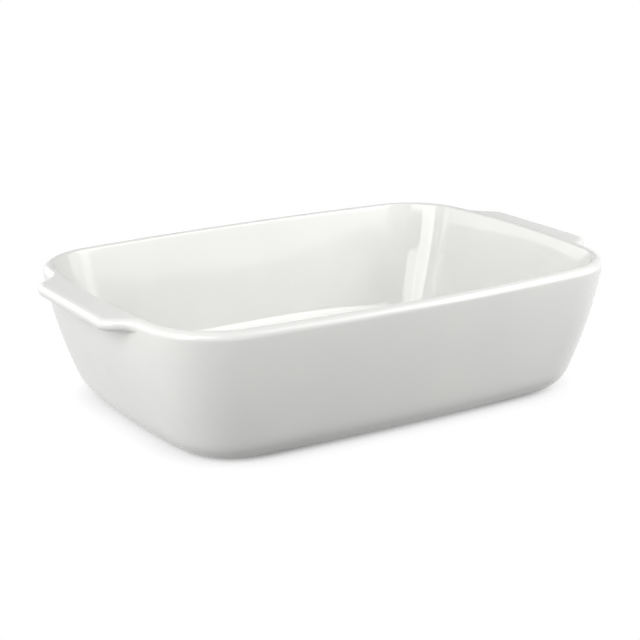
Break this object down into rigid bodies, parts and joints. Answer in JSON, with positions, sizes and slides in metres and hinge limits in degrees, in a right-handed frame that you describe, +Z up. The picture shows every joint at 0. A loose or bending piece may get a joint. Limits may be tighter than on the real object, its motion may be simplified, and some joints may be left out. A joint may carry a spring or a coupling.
{
  "type": "lasagna dish",
  "caption": "Deep rectangular lasagna dish in white glazed stoneware, with bowed sides, round corners, a rounded lip and a flat lug handle on each end.",
  "frame": {"origin": "middle of the foot, in the plane of the table", "axes": "+X along the dish towards the right handle, +Y across it, +Z up"},
  "size_m": [0.3646, 0.2384, 0.088],
  "materials": {
    "stoneware": "bare fired clay, matt",
    "white_glaze": "glossy white glaze"
  },
  "bodies": {
    "root": {"clay_body": "stoneware", "left_handle": "stoneware", "right_handle": "stoneware", "glaze_coat": "white_glaze", "underside_glaze": "white_glaze"}
  },
  "joints": []
}
